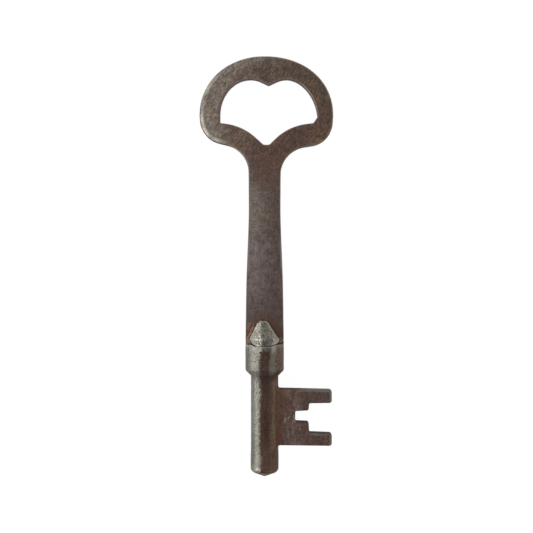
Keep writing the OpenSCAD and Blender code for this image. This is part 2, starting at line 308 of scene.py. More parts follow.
def plate_mesh(name, loops, half_t, edge_radius, edge_fall, relief, spacing, **measures):
    """A closed plate of the outline's shape, with rounded edges and relief on both faces.

    edge_radius gives the rounding at an outline point, edge_fall how far the face falls away towards it,
    relief the depth worn off at a point of a face, and each measure a value that the points keep.
    """
    rim = np.concatenate(loops)
    normal = np.concatenate([inward(loop) for loop in loops])
    radius = np.array([edge_radius(x, y) for x, y in rim])
    fall = np.array([edge_fall(x, y) for x, y in rim])
    tree = kdtree.KDTree(len(rim))
    for i, (x, y) in enumerate(rim):
        tree.insert((x, y, 0), i)
    tree.balance()

    def nearest(point):
        """The number of the nearest outline point, and the distance to it."""
        return tree.find((point[0], point[1], 0))[1:]

    points = [tuple(p) for p in rim]
    for k in range(1, RING_COUNT + 1):
        reach = radius * (1 - math.cos(math.radians(90 * k / RING_COUNT)))
        for p, d in zip(rim + normal * reach[:, None], reach):
            if nearest(p)[1] > RING_CLEAR * d:
                points.append(tuple(p))
    low, high = rim.min(axis=0), rim.max(axis=0)
    rng = np.random.default_rng(GRID_SEED)
    xs, ys = np.meshgrid(np.arange(low[0], high[0], spacing), np.arange(low[1], high[1], spacing))
    grid = np.stack([xs.ravel(), ys.ravel()], axis=1)
    grid += rng.uniform(-GRID_PLAY, GRID_PLAY, grid.shape) * spacing
    grid = grid[inside(loops, grid)]
    for p in grid:
        index, distance = nearest(p)
        if distance > radius[index] + GRID_CLEAR * spacing:
            points.append(tuple(p))
    edges, start = [], 0
    for loop in loops:
        n = len(loop)
        edges += [(start + i, start + (i + 1) % n) for i in range(n)]
        start += n
    flat, _, faces, _, _, _ = geometry.delaunay_2d_cdt([Vector(p) for p in points], edges, [], 0, 1e-5)
    flat = np.array([tuple(p) for p in flat])
    faces = np.array(faces)
    faces = faces[inside(loops, flat[faces].mean(axis=1))]

    found = [nearest(p) for p in flat]
    distance = np.array([d for _, d in found])
    index = [i for i, _ in found]
    local = radius[index]
    over = np.clip(local - distance, 0, None)
    height = half_t - local + np.sqrt(np.clip(local**2 - over**2, 0, None))
    height -= fall[index] * np.clip(1 - distance / FALL_WIDTH, 0, 1) ** 2
    front = height - np.array([relief(x, y, 1) for x, y in flat]) - SKIN
    back = height - np.array([relief(x, y, -1) for x, y in flat]) - SKIN
    verts = np.concatenate([np.column_stack([flat, front]), np.column_stack([flat, -back])])
    sides = {(a, b) for tri in faces for a, b in ((tri[0], tri[1]), (tri[1], tri[2]), (tri[2], tri[0]))}
    count = len(flat)
    walls = [(b, a, a + count, b + count) for a, b in sides if (b, a) not in sides]
    faces = [tuple(t) for t in faces] + [tuple(t[::-1] + count) for t in faces] + walls
    kept = {key: [measure(x, y) for x, y in flat] * 2 for key, measure in measures.items()}
    return make_object(name, verts, faces, edge=np.tile(distance, 2), **kept)


def turned_rings(section, segments):
    """Rings of points round the Y axis, one for each (radius, y) of the section."""
    angle = np.arange(segments) * 2 * math.pi / segments
    radius, y = section[:, 0][:, None], section[:, 1][:, None]
    return np.stack([radius * np.sin(angle), y + 0 * angle, radius * np.cos(angle)], axis=2)


def ring_faces(rings, segments, closed):
    """Faces between neighbouring rings, and between the last and the first if closed."""
    faces = []
    for i in range(rings if closed else rings - 1):
        a, b = i * segments, (i + 1) % rings * segments
        for j in range(segments):
            k = (j + 1) % segments
            faces.append((a + j, a + k, b + k, b + j))
    return faces


def grid_normals(verts, faces):
    """Smooth unit normals of a mesh of triangles and quads, one a point."""
    total = np.zeros_like(verts)
    for face in faces:
        p = verts[list(face)]
        total[list(face)] += np.cross(p[2] - p[0], p[-1] - p[1])
    length = np.linalg.norm(total, axis=1)
    return total / np.where(length > 0, length, 1)[:, None]


def worn(verts, faces):
    """The points of a round part, moved inwards by the depth of its wear."""
    depth = np.array([steel_relief(*v) for v in verts]) + SKIN
    return verts - grid_normals(verts, faces) * depth[:, None]


def pits(x, y, z, size, share, seed):
    """Depth from 0 to 1 of round pits of about the given size, in that share of the cells."""
    distances, places = noise.voronoi(Vector((x / size + seed, y / size, z / size)))
    if noise.cell(places[0] * 7.3) > share:
        return 0.0
    return max(0.0, 1 - (distances[0] / 0.5) ** 2)


def waves(*place):
    """Smooth noise from 0 to 1 at a place that is already scaled."""
    return 0.5 + 0.5 * noise.noise(Vector(place))


def plate_relief(x, y, side):
    """Depth worn off the bow plate's faces: shallow waves and scattered pits."""
    z = 5.0 * side
    wave = waves(x / 4.5, y / 6.5, z)
    ripple = waves(x / 0.8, y / 1.0, z + 9)
    return 0.03 * wave + 0.03 * ripple + 0.045 * pits(x, y, z, 0.8, 0.3, 3.1)


def bit_relief(x, y, side):
    """Depth worn off the bit's faces: file marks along the key and a few pits."""
    z = 3.0 * side
    wave = waves(x / 2.5, y / 5, z)
    marks = waves(x / 0.45, y / 3.5, z + 4)
    return 0.02 * wave + 0.01 * marks + 0.03 * pits(x, y, z, 0.7, 0.12, 8.2)


def steel_relief(x, y, z):
    """Depth worn off the round parts: dents, grain and pits."""
    dent = waves(x / 1.1, y / 1.6, z / 1.1)
    grain = waves(x / 0.45, y / 0.55, z / 0.45)
    return max(0.0, 0.06 * dent + 0.02 * grain + 0.04 * pits(x, y, z, 0.7, 0.3, 5.7) - 0.035)


def plate_edge_radius(x, y):
    """Rounding of the bow plate's edges: wide round the bow, narrow on the stem and in the eye."""
    if y < ferrule_h + 1:
        return TANG_EDGE_R
    if in_eye(x, y):
        return STEM_EDGE_R
    bow = smooth_step(43.0, 50.0, y)
    worn = (WORN_EDGE_R - BOW_EDGE_R) * smooth_step(-1.0, -9.0, x)
    return float(STEM_EDGE_R + bow * (BOW_EDGE_R - STEM_EDGE_R + worn))


def in_eye(x, y):
    """Whether a point of the plate's outline is on the eye's edge, not the bow's."""
    return math.hypot((x - EYE_CENTRE[0]) / EYE_REACH[0], (y - EYE_CENTRE[1]) / EYE_REACH[1]) < 1


def plate_edge_fall(x, y):
    """How far the worn face falls away towards an outline point: most on the lower left of the bow."""
    if in_eye(x, y) or y < ferrule_h + 1:
        return 0.0
    bow = smooth_step(46.0, 52.0, y)
    left = smooth_step(-1.0, -10.0, x)
    low = smooth_step(69.0, 60.0, y)
    return float(bow * (0.03 + left * (0.07 + 0.33 * low)))


def plate_loops(node, spacing):
    """A node's outline, smoothed and kept inside the node's box."""
    low, high = box_mm(node)
    return [np.clip(resampled(loop, spacing), low[:2], high[:2]) for loop in outline_loops(node)]


def make_bow_plate():
    loops = plate_loops("bow_plate", 0.25)
    return plate_mesh(
        "bow_and_stem", loops, plate_half_t, plate_edge_radius, plate_edge_fall, plate_relief,
        spacing=0.3, lip=from_lips
    )


def make_bit():
    loops = plate_loops("bit", 0.12)
    return plate_mesh(
        "stepped_bit", loops, bit_half_t, lambda *_: BIT_EDGE_R, lambda *_: BIT_FALL, bit_relief,
        spacing=0.2
    )


def make_shank():
    """The round shank with its swollen tip, and the two pointed lips that hold the plate."""
    head_top = ferrule_h - HEAD_UNDER_RIM
    section = rounded([
        (0, point_y, 0),
        (POINT_FLAT_R, point_y, 0.6),
        (TIP_R, point_y + POINT_H, POINT_EDGE_R),
        (TIP_R, TIP_Y, 0),
        (SHANK_R, SWELL_Y, 0),
        (SHANK_R, 0, 0),
        (head_r, HEAD_FOOT_Y, 0),
        (head_r, head_top, 0),
        (0, head_top, 0)
    ])
    section = divided(section, 0.17)[1:-1]
    segments = 150
    verts = turned_rings(section, segments).reshape(-1, 3)
    faces = ring_faces(len(section), segments, False)
    start, last = len(verts), (len(section) - 1) * segments
    verts = np.concatenate([verts, [[0, point_y, 0], [0, head_top, 0]]])
    for j in range(segments):
        k = (j + 1) % segments
        faces.append((start, k, j))
        faces.append((start + 1, last + j, last + k))
    verts = worn(verts, faces)
    margins = np.full(len(verts), FAR)
    lip_verts, lip_faces, lip_margins = lip_grid()
    for side in (1, -1):
        count = len(verts)
        verts = np.concatenate([verts, lip_verts * (1, 1, side)])
        faces += [tuple(count + i for i in (f if side > 0 else f[::-1])) for f in lip_faces]
        margins = np.concatenate([margins, lip_margins])
    above = verts[:, 1] - ferrule_h + rim_drop(verts[:, 0])
    above[above < -1] = FAR
    return make_object("shank_and_lips", verts, faces, edge=margins, seam=np.abs(above))


def rim_drop(x):
    """How far the ferrule's worn upper rim lies under its highest level."""
    dip = smooth_step(2.9, 1.2, x) * smooth_step(-3.1, -2.0, x)
    return RIM_DIP * dip + RIM_TILT * (0.5 - 0.5 * x / ferrule_r)


def lip_radius(y):
    """Radius of the lips' outside, round the key's axis, at a level."""
    if y < lip_wide_y:
        below = min(1.0, (lip_wide_y - y) / LIP_WIDE_H)
        return LIP_WIDE_R + (LIP_FOOT_R - LIP_WIDE_R) * below**1.5
    above = (y - lip_wide_y) / (lip_top_y - lip_wide_y)
    return LIP_END_R + (LIP_WIDE_R - LIP_END_R) * (1 - above) ** LIP_HOLLOW


def lip_half_width(y, low):
    """Half the lips' width at a level, where they lie on the plate."""
    r = min(lip_radius(y), LIP_WIDE_R)
    half_w = math.sqrt(r * r - low * low)
    from_end = lip_top_y - y
    if from_end < LIP_TIP_R:
        half_w *= math.sqrt(max(0.0, 1 - (1 - from_end / LIP_TIP_R) ** 2))
    corner_y = ferrule_h - RIM_DIP + LIP_CORNER_H
    down = min(1.0, max(0.0, (corner_y - y) / LIP_CORNER_H))
    return half_w - LIP_CORNER_W * down**1.25


def lip_centre(y):
    """Where the middle of the leaning lips lies across the key at a level."""
    return -LIP_LEAN * max(0.0, (y - lip_wide_y) / (lip_top_y - lip_wide_y)) ** 0.6


def from_lips(x, y):
    """About how far a point of the plate lies outside the lips' outline."""
    if y > lip_top_y - 0.3:
        return math.hypot(x - lip_centre(lip_top_y), y - lip_top_y + 0.3) - 0.4
    half_w = lip_half_width(max(y, ferrule_h - 1), plate_half_t)
    return 0.75 * (abs(x - lip_centre(y)) - half_w)


def lip_grid(across=64, spacing=0.08):
    """One lip of the split head, as a closed shell that starts inside the ferrule and lies on the plate.

    It also gives how far each point lies from the lip's outline.
    """
    low = plate_half_t - LIP_SUNK
    levels = np.arange(ferrule_h - LIP_INSIDE, lip_top_y, spacing)
    levels = np.append(levels[levels < lip_top_y - 0.04], lip_top_y - 0.01)
    t = np.linspace(-1, 1, across)
    rows, margins = [], []
    for y in levels:
        r = lip_radius(y)
        half_w = lip_half_width(y, low)
        from_end = lip_top_y - y
        bulge = np.sqrt(np.clip(r * r - (t * half_w) ** 2, 0, None)) - low
        ridge = LIP_RIDGE_X * min(1.0, from_end / (lip_top_y - lip_wide_y)) / half_w
        gable = (r - low) * (1 - np.abs((t - ridge) / (1 - ridge * np.sign(t - ridge))) ** 1.7)
        flat = LIP_FLATNESS * smooth_step(ferrule_h, lip_wide_y, y)
        bulge = bulge * (1 - flat) + gable * flat
        if from_end < LIP_TIP_R:
            bulge *= math.sqrt(max(0.0, 1 - (1 - from_end / LIP_TIP_R) ** 4))
        edge = np.sqrt(np.clip(1 - np.abs(t) ** 16, 0, 1))
        height = low + np.maximum(bulge, 0.2) * edge
        rows.append(np.stack([t * half_w + lip_centre(y), np.full(across, y), height], axis=1))
        margins.append(np.minimum((1 - np.abs(t)) * half_w, from_end))
    count = len(rows)
    verts = np.concatenate(rows)
    margins = np.concatenate(margins)
    floor_verts = verts.copy()
    floor_verts[:, 2] = low
    faces = []
    for i in range(count - 1):
        for a in range(i * across, (i + 1) * across - 1):
            faces.append((a, a + 1, a + across + 1, a + across))
    normals = grid_normals(verts, faces)
    normals[normals[:, 2] < 0] *= -1
    fade = np.clip((verts[:, 2] - low) / 0.2, 0, 1)
    depth = np.array([steel_relief(*v) for v in verts]) * 1.5
    verts = verts - normals * (depth * fade)[:, None]
    verts[:, 2] = np.maximum(verts[:, 2], low)
    total = len(verts)
    faces += [tuple(i + total for i in f[::-1]) for f in faces]
    grid = np.arange(total).reshape(count, across)
    rim = [*grid[0], *grid[1:, -1], *grid[-1, -2::-1], *grid[-2:0:-1, 0]]
    for a, b in zip(rim, rim[1:] + rim[:1]):
        faces.append((b, a, a + total, b + total))
    return np.concatenate([verts, floor_verts]), faces, np.concatenate([margins, 0 * margins])


def make_ferrule():
    """The ferrule: a thin sleeve with a sloped lower end, and a rim that dips at the front and back."""
    bore_r = head_r + FIT_GAP
    neck_r = SHANK_R + FIT_GAP
    slope_h = ferrule_r - neck_r - RIM_T
    section = rounded([
        (neck_r, 0, 0),
        (neck_r + RIM_T, 0, 0),
        (ferrule_r, slope_h, SLOPE_R),
        (ferrule_r, ferrule_h, RIM_EDGE_R),
        (bore_r, ferrule_h, 0.1),
        (bore_r, HEAD_FOOT_Y, 0),
        (neck_r, 0, 0)
    ])
    section = divided(section, 0.15)[:-1]
    segments = 200
    rings = turned_rings(section, segments)
    rise = np.clip(rings[:, :, 1] / ferrule_h, 0, 1) ** 3
    rings[:, :, 1] -= rim_drop(rings[:, :, 0]) * rise
    verts = rings.reshape(-1, 3)
    faces = ring_faces(len(section), segments, True)
    verts = worn(verts, faces)
    below = ferrule_h - rim_drop(verts[:, 0]) - verts[:, 1]
    return make_object("ferrule_sleeve", verts, faces, seam=below)


def make_braze(steps=6, spacing=0.2):
    """The braze round the bit's root: a hollow fillet that runs once round the joint."""
    front_x = math.sqrt(SHANK_R**2 - bit_half_t**2)
    tilt = math.asin(bit_half_t / SHANK_R)
    over = np.array([-math.sin(tilt), 0, math.cos(tilt)])
    up = np.array([0, 1.0, 0])
    path = []

    def run(a, b, side_a, side_b):
        n = max(3, math.ceil(np.linalg.norm(b - a) / spacing))
        for i in range(n):
            t = i / n
            place = a + (b - a) * t
            r = math.hypot(place[0], place[2])
            place = place * (SHANK_R / r, 1, SHANK_R / r)
            path.append((place, unit(side_a * (1 - t) + side_b * t)))

    top, bottom = bit_high.y - BRAZE_TOP_GAP, bit_low.y + BRAZE_FOOT_GAP
    corners = ((bottom, bit_half_t), (top, bit_half_t), (top, -bit_half_t), (bottom, -bit_half_t))
    corners = [np.array([front_x, y, z]) for y, z in corners]
    sides = [over, up, over * (1, 1, -1), -up]
    for i in range(4):
        j = (i + 1) % 4
        run(corners[i], corners[j], sides[i], sides[i])
        run(corners[j], corners[j], sides[i], sides[j])
    outwards = np.array([1.0, 0, 0])
    verts = []
    for place, side in path:
        wobble = 1 + 0.3 * noise.noise(Vector(place / 1.3))
        on_bit = place + outwards * BRAZE_WIDTH * wobble * 0.9
        on_shank = place + side * BRAZE_WIDTH * wobble
        sunk = place - (outwards + side) * BRAZE_SUNK
        lift = unit(outwards + side) * BRAZE_LIFT
        ring = [on_bit - side * 0.06]
        for i in range(steps + 1):
            t = i / steps
            ring.append(on_bit * (1 - t) ** 2 + place * 2 * t * (1 - t) + on_shank * t**2 + lift)
        verts += ring + [on_shank - outwards * 0.1, sunk]
    size = steps + 4
    faces = [f[::-1] for f in ring_faces(len(path), size, True)]
    return make_object("braze_fillet", np.array(verts), faces)


class Number:
    """A number in a tree of nodes, which takes the usual signs for sums, differences and products."""

    def __init__(self, nodes, socket):
        self.nodes = nodes
        self.socket = socket

    def __add__(self, other):
        return self.nodes.math("ADD", self, other)

    def __sub__(self, other):
        return self.nodes.math("SUBTRACT", self, other)

    def __rsub__(self, other):
        return self.nodes.math("SUBTRACT", other, self)

    def __mul__(self, other):
        return self.nodes.math("MULTIPLY", self, other)

    def clamped(self):
        """The same sum, difference or product, kept between 0 and 1."""
        self.socket.node.use_clamp = True
        return self

    def ramp(self, low, high, out_low=0.0, out_high=1.0):
        """The number taken from low to high on to the output range, smoothly and clamped."""
        values = (self, low, high, out_low, out_high)
        node = self.nodes.add("MapRange", *values, interpolation_type="SMOOTHSTEP")
        return Number(self.nodes, node.outputs[0])

    def spread(self, out_low, out_high):
        """The usual range of a noise taken on to the output range."""
        return self.ramp(NOISE_LOW, NOISE_HIGH, out_low, out_high)

    def within(self, start, full_from, full_to, end):
        """1 in the middle part of a range, falling smoothly to 0 at its start and its end."""
        return self.ramp(start, full_from) * self.ramp(end, full_to)


def largest(first, *others):
    """The largest of several numbers, of which the first isn't a plain one."""
    for other in others:
        first = first.nodes.math("MAXIMUM", first, other)
    return first


class Tree:
    """Short calls for the shader nodes of a material or a world, whose tree is emptied first."""

    def __init__(self, user):
        user.use_nodes = True
        self.tree = user.node_tree
        self.tree.nodes.clear()

    def add(self, kind, *inputs, **settings):
        """A new node with its settings, and with what is put in its first inputs."""
        node = self.tree.nodes.new("ShaderNode" + kind)
        for name, value in settings.items():
            setattr(node, name, value)
        for socket, value in zip(node.inputs, inputs):
            self.put(socket, value)
        return node

    def put(self, socket, value):
        """Links a number, an output or a node's first output to the socket, or sets a plain value on it."""
        if isinstance(value, Number):
            value = value.socket
        if isinstance(value, bpy.types.Node):
            value = value.outputs[0]
        if isinstance(value, bpy.types.NodeSocket):
            self.tree.links.new(value, socket)
        elif socket.type == "RGBA":
            socket.default_value = (*value, 1)
        else:
            socket.default_value = value

    def fill(self, node, values):
        """Puts each value in the node's input of that name or place."""
        for name, value in values.items():
            self.put(node.inputs[name], value)

    def math(self, operation, a, b):
        return Number(self, self.add("Math", a, b, operation=operation).outputs[0])

    def choose(self, factor, a, b):
        """Shader a at factor 0, and shader b at 1."""
        return self.add("MixShader", factor, a, b)


class Nodes(Tree):
    """A material's nodes, with a colour laid on in layers. Places are millimetres in the key's frame."""

    def __init__(self, name):
        self.material = bpy.data.materials.new(name)
        super().__init__(self.material)
        self.shader = self.add("BsdfPrincipled")
        self.add("OutputMaterial", self.shader)
        metres = self.add("TexCoord").outputs["Object"]
        self.point = self.vector("MULTIPLY", metres, (1 / MM, 1 / MM, 1 / MM))
        split = self.add("SeparateXYZ", self.point)
        self.x = Number(self, split.outputs["X"])
        self.y = Number(self, split.outputs["Y"])

    def vector(self, operation, a, b):
        return self.add("VectorMath", a, b, operation=operation)

    def measure(self, operation, a, b=(0, 0, 0)):
        """The number that a vector node gives, such as a length."""
        return Number(self, self.vector(operation, a, b).outputs["Value"])

    def texture(self, place, detail, rough=0.5, distortion=0.0):
        """Noise from 0 to 1 at a place that is already scaled."""
        node = self.add("TexNoise", place)
        self.fill(node, {"Scale": 1.0, "Detail": detail, "Roughness": rough, "Distortion": distortion})
        return Number(self, node.outputs[0])

    def noise(self, size, detail, rough, stretch=(1, 1, 1), shift=0.0, distortion=0.0):
        """Noise with features of about that size, drawn out along the stretched axes."""
        scale = tuple(1 / (size * s) for s in stretch)
        place = self.vector("MULTIPLY", self.point, scale)
        place = self.vector("ADD", place, (shift, shift * 0.7, shift * 1.3))
        return self.texture(place, detail, rough, distortion)

    def turned(self, angle, length, width, centre=(0, 0), shift=0.0):
        """The place from a centre, in lengths along an angle to +X of the plan and in widths across it."""
        turn = math.radians(angle)
        along = (math.cos(turn), math.sin(turn), 0)
        across = (-math.sin(turn), math.cos(turn), 0)
        join = self.add("CombineXYZ")
        for socket, line, size in zip(join.inputs, (along, across), (length, width)):
            start = shift - (centre[0] * line[0] + centre[1] * line[1]) / size
            scaled = tuple(v / size for v in line)
            self.put(socket, self.measure("DOT_PRODUCT", self.point, scaled) + start)
        return join

    def streaks(self, angle, width, length, shift):
        """Noise drawn out into strokes of that width and length, at an angle to +X in the key's plan."""
        return self.texture(self.turned(angle, length, width, shift=shift), 2.0)

    def stroke(self, centre, angle, length, width, strength=1.0):
        """A single stroke through a point of the plan: the strength along its middle, and 0 at its rim."""
        place = self.turned(angle, length / 2, width / 2, centre)
        return self.measure("LENGTH", place).ramp(1.0, 0.3, 0.0, strength)

    def spot(self, centre, radius, soft=0.6):
        """1 near a point of the key, falling to 0 at the radius, seen from the front."""
        flat = self.vector("MULTIPLY", self.point, (1, 1, 0))
        return self.measure("DISTANCE", flat, (*centre, 0)).ramp(radius, radius * (1 - soft))

    def ellipse(self, centre, half_axes):
        """0 at the centre of an ellipse of the key's plan, and 1 on its line."""
        place = self.vector("SUBTRACT", self.point, (*centre, 0))
        place = self.vector("MULTIPLY", place, (1 / half_axes[0], 1 / half_axes[1], 0))
        return self.measure("LENGTH", place)

    def attribute(self, name):
        return Number(self, self.add("Attribute", attribute_name=name).outputs["Fac"])

    def mix(self, factor, a, b):
        """Colour a at factor 0, and colour b at 1."""
        node = self.add("Mix", factor, data_type="RGBA")
        self.fill(node, {6: a, 7: b})
        return node.outputs[2]

    def blend(self, factor, a, b):
        """Number a at factor 0, and number b at 1."""
        node = self.add("Mix", factor, data_type="FLOAT")
        self.fill(node, {2: a, 3: b})
        return Number(self, node.outputs[0])

    def scaled(self, colour, factor):
        """The colour times a number."""
        node = self.add("VectorMath", colour, operation="SCALE")
        self.fill(node, {"Scale": factor})
        return node

    def lay(self, factor, colour):
        """Lays a colour over what is there, fully where the factor is 1."""
        self.colour = self.mix(factor, self.colour, colour)

    def shade(self, factor):
        """Makes the colour lighter or darker by a factor."""
        self.colour = self.scaled(self.colour, factor)

    def finish(self, metallic, roughness, height, depth):
        """Fills the shader's inputs, with a bump of that depth, and gives the material."""
        bump = self.add("Bump")
        self.fill(bump, {"Strength": 1.0, "Distance": depth * MM, "Height": height})
        self.fill(self.shader, {"Base Color": self.colour, "Metallic": metallic, "Roughness": roughness})
        self.fill(self.shader, {"Specular IOR Level": SPECULAR, "Normal": bump})
        return self.material


# The plate's patina, and the light colours of its worn edges, which are painted highlights too
BOW_LEFT = (0.185, 0.15, 0.122)
BOW_RIGHT = (0.096, 0.056, 0.041)
STEM_LEFT = (0.165, 0.129, 0.122)
STEM_LEFT_TOP = (0.162, 0.136, 0.113)
STEM_RIGHT = (0.09, 0.062, 0.055)
STEM_RIGHT_TOP = (0.088, 0.06, 0.048)
STEM_RIM = (0.22, 0.195, 0.175)
OLIVE = (0.088, 0.066, 0.048)
NECK = (0.098, 0.055, 0.041)
ABOVE_EYE = (0.1, 0.066, 0.05)
EYE_WALL = (0.11, 0.056, 0.037)
# DARK is the colour of dark specks and marks, and also of painted shade and painted shadow
DARK = (0.035, 0.021, 0.016)
RUST = (0.22, 0.105, 0.05)
COLLAR_BROWN = (0.095, 0.05, 0.029)
RED_BROWN = (0.13, 0.044, 0.02)
SCRATCH = (0.44, 0.27, 0.16)
STROKE = (0.43, 0.25, 0.16)
SHOULDER = (0.25, 0.22, 0.17)
BARE_EDGE_HIGHLIGHT = (0.47, 0.43, 0.36)
BARE_RIM_HIGHLIGHT = (0.75, 0.7, 0.6)

# The round parts' steel and patina, and the colours of painted highlights on them
STEEL = (0.325, 0.318, 0.27)
STEEL_DARK = (0.058, 0.032, 0.0225)
STEEL_BROWN = (0.105, 0.062, 0.038)
STEEL_MATT_HIGHLIGHT = (0.33, 0.325, 0.275)
RUST_LINE = (0.15, 0.074, 0.036)
LIP_LIGHT = (0.62, 0.58, 0.5)
PALE_PATCH_AND_HIGHLIGHT = (0.62, 0.55, 0.5)

# The bit's patina, and the colours of its painted highlights and painted shade
BIT_DARK = (0.088, 0.046, 0.034)
BIT_PALE = (0.128, 0.086, 0.074)
BIT_DUSKY = (0.082, 0.052, 0.046)
BIT_RUST = (0.15, 0.065, 0.035)
BIT_SPOT = (0.2, 0.085, 0.045)
BIT_STROKE = (0.27, 0.19, 0.165)
BIT_BEVEL_HIGHLIGHT = (0.24, 0.225, 0.2)
BIT_RIM_SHADE = (0.045, 0.026, 0.02)
NOTCH_RIM = (0.2, 0.195, 0.165)

# The braze
BRAZE_LIGHT = (0.17, 0.082, 0.04)
BRAZE_DARK = (0.105, 0.056, 0.033)
BRAZE_RED = (0.13, 0.045, 0.024)

# The range that a noise mostly keeps to, and the reflection at a right angle
NOISE_LOW = 0.3
NOISE_HIGH = 0.7
SPECULAR = 0.3

# Levels between which the stem's look turns into the bow's
BOW_START = 46
BOW_FULL = 52

# Half axes of the ellipse that the look round the eye follows
EYE_LOOK = (11.8, 8.8)

# Levels at which the look of the shank's last part sets in, and is complete
LAST_START = -14.5
LAST_FULL = -17


def bow_colour(m):
    """The bow's patina: greyer to the left, olive at the top and brown above the eye."""
    olive = m.y.ramp(60, 66) * m.blotch.ramp(0.3, 0.6, 0.3, 1.0)
    colour = m.mix(olive * 0.8, BOW_RIGHT, OLIVE)
    colour = m.mix(m.bow_place.ramp(3, -5, 0, 0.3), colour, BOW_LEFT)
    colour = m.mix(m.bow_place.ramp(-5, -10.5), colour, BOW_LEFT)
    inner = m.from_eye.ramp(1.2, 0.98) * m.y.ramp(66.5, 68.5) * m.x.ramp(-8.5, -5.5)
    return m.mix(inner * 0.75, colour, ABOVE_EYE)


def stem_colour(m, place):
    """The stem's patina: greyer to the left and upwards, and darker towards the lips."""
    left = place.ramp(3, -3.5) * m.y.ramp(8, 36, 0.4, 1.0)
    high = m.y.ramp(26, 40)
    right_colour = m.mix(high, STEM_RIGHT, STEM_RIGHT_TOP)
    left_colour = m.mix(high, STEM_LEFT, STEM_LEFT_TOP)
    return m.scaled(m.mix(left, right_colour, left_colour), m.y.ramp(20, 13, 1.0, 0.84))


def plate_grain(m, rough_bow):
    """Light and dark grain: coarse on the bow's left, drawn out along the stem and brushed over the bow."""
    smudge = m.noise(1.2, 3, 0.6, shift=97, distortion=0.8)
    coarse = m.mottle.spread(0.78, 1.22) * smudge.ramp(0.35, 0.65, 0.78, 1.22)
    grain = m.blend(rough_bow, m.mottle.spread(0.8, 1.22), coarse) * m.fine.spread(0.88, 1.12)
    drawn = m.streaks(90, 0.22, 2.2, 31)
    grain = grain * m.blend(m.y.within(12, 16, 43, 47), 1.0, drawn.spread(0.86, 1.14))
    grain = grain * m.blotch.spread(1.14, 0.86) * m.broad.spread(0.92, 1.08)
    return grain * m.blend(m.bow, 1.0, m.brushed.spread(0.7, 1.32))


def stem_edges(m):
    """The stem's edges: dark, with a thin light rim that is wider half way up."""
    off_bow = 1.0 - m.bow
    m.lay(m.edge.ramp(0.4, 0.15) * off_bow * 0.55, DARK)
    wide_rim = m.edge.ramp(0.5, 0.3) * m.y.within(23, 25.5, 30.5, 33) * 0.65
    rim = largest(m.edge.ramp(0.26, 0.14) * 0.85, wide_rim) * m.edge.ramp(0.0, 0.04)
    m.lay(rim * off_bow * m.y.ramp(9, 14), STEM_RIM)


def plate_rust(m):
    """Rust in spots on the bow, and thinly in broad patches."""
    rusty = largest(
        m.spot((12.9, 54.4), 4.2) * 0.85,
        m.spot((10.6, 66.0), 3.5) * 0.6,
        m.spot((-7.0, 55.5), 5.5) * 0.55,
        m.spot((11.6, 62.8), 1.6) * 0.7,
        m.broad.ramp(0.5, 0.7, 0, 0.2)
    )
    rusty = rusty * m.fine.ramp(0.42, 0.6) * m.mottle.ramp(0.4, 0.55)
    m.lay(rusty * 0.65, RUST)


def round_lips(m):
    """The plate round the lips: red rust, light strokes on the left, a painted shadow along the lips' edge
    and pale shoulders.
    """
    collar = m.spot((-0.2, 9.2), 6.0, 0.5) * m.blotch.ramp(0.7, 0.35, 0.5, 1.0)
    red = m.mix(m.mottle.ramp(0.4, 0.6), COLLAR_BROWN, RED_BROWN)
    m.lay(collar * 0.9, m.scaled(red, m.x.ramp(-1, 2, 0.92, 0.76)))
    scratches = m.streaks(63, 0.22, 2.6, 9).ramp(0.54, 0.62)
    scratches = scratches * m.spot((-3.0, 9.9), 3.0, 0.4) * m.x.ramp(-0.8, -1.8)
    m.lay(scratches * 0.6, SCRATCH)
    strokes = largest(
        m.stroke((-3.3, 9.6), 60, 2.0, 0.5, 0.7),
        m.stroke((-2.8, 10.75), 66, 2.2, 0.42, 0.5),
        m.stroke((-3.85, 8.8), 58, 1.6, 0.45, 0.6),
        m.stroke((-3.75, 10.9), 80, 1.8, 0.3, 0.25)
    )
    m.lay(strokes, STROKE)
    # Painted shadow along the lips' edge, stronger on the right
    plate_lip_shadow = m.attribute("lip").ramp(0.32, 0.05) * m.y.ramp(13.8, 13.2) * m.x.ramp(-2, 1.5, 0.4, 0.8)
    m.lay(plate_lip_shadow, DARK)
    left_shoulder = m.y.ramp(8.7, 8.1) * m.x.ramp(-2.9, -3.4) * 0.75
    right_shoulder = m.spot((4.0, 7.9), 1.1) * m.mottle.ramp(0.45, 0.53) * 0.75
    m.lay(largest(left_shoulder, right_shoulder), SHOULDER)


def bow_rim_wear_and_highlight(m):
    """Where the bow's outer rim is worn bare and painted light as a highlight: on the left, most of all low
    down.
    """
    along = largest(m.y.ramp(63, 59, 0.1, 1.0), m.y.within(64, 65.2, 67.5, 70) * 0.85)
    low_left = m.x.ramp(-6, -11.5) * along
    rim = m.edge.ramp(1.25, 0.6) * m.edge.ramp(0.1, 0.35, 0.3, 1.0) * low_left * m.from_eye.ramp(1.1, 1.16)
    return rim * m.x.ramp(-8.5, -11, 0.4, 1.0) * m.blotch.ramp(0.65, 0.4, 0.5, 1.0)


def bow_edge_wear_and_highlight(m, eye_side):
    """Where a thin line along the edges of the bow and the eye is bare, painted light as an edge highlight.
    """
    worn_eye = m.x.ramp(8, 9.5, 0, 0.6) * m.y.within(60, 62, 66.5, 68)
    low_edge = largest(m.y.ramp(55, 57, 0.35, 1.2), m.x.ramp(5, 3))
    bow_edge = m.blend(eye_side, m.bow * low_edge, worn_eye + 0.35)
    return m.edge.within(0.0, 0.06, 0.12, 0.4) * m.mottle.ramp(0.6, 0.42, 0.2, 0.6) * bow_edge


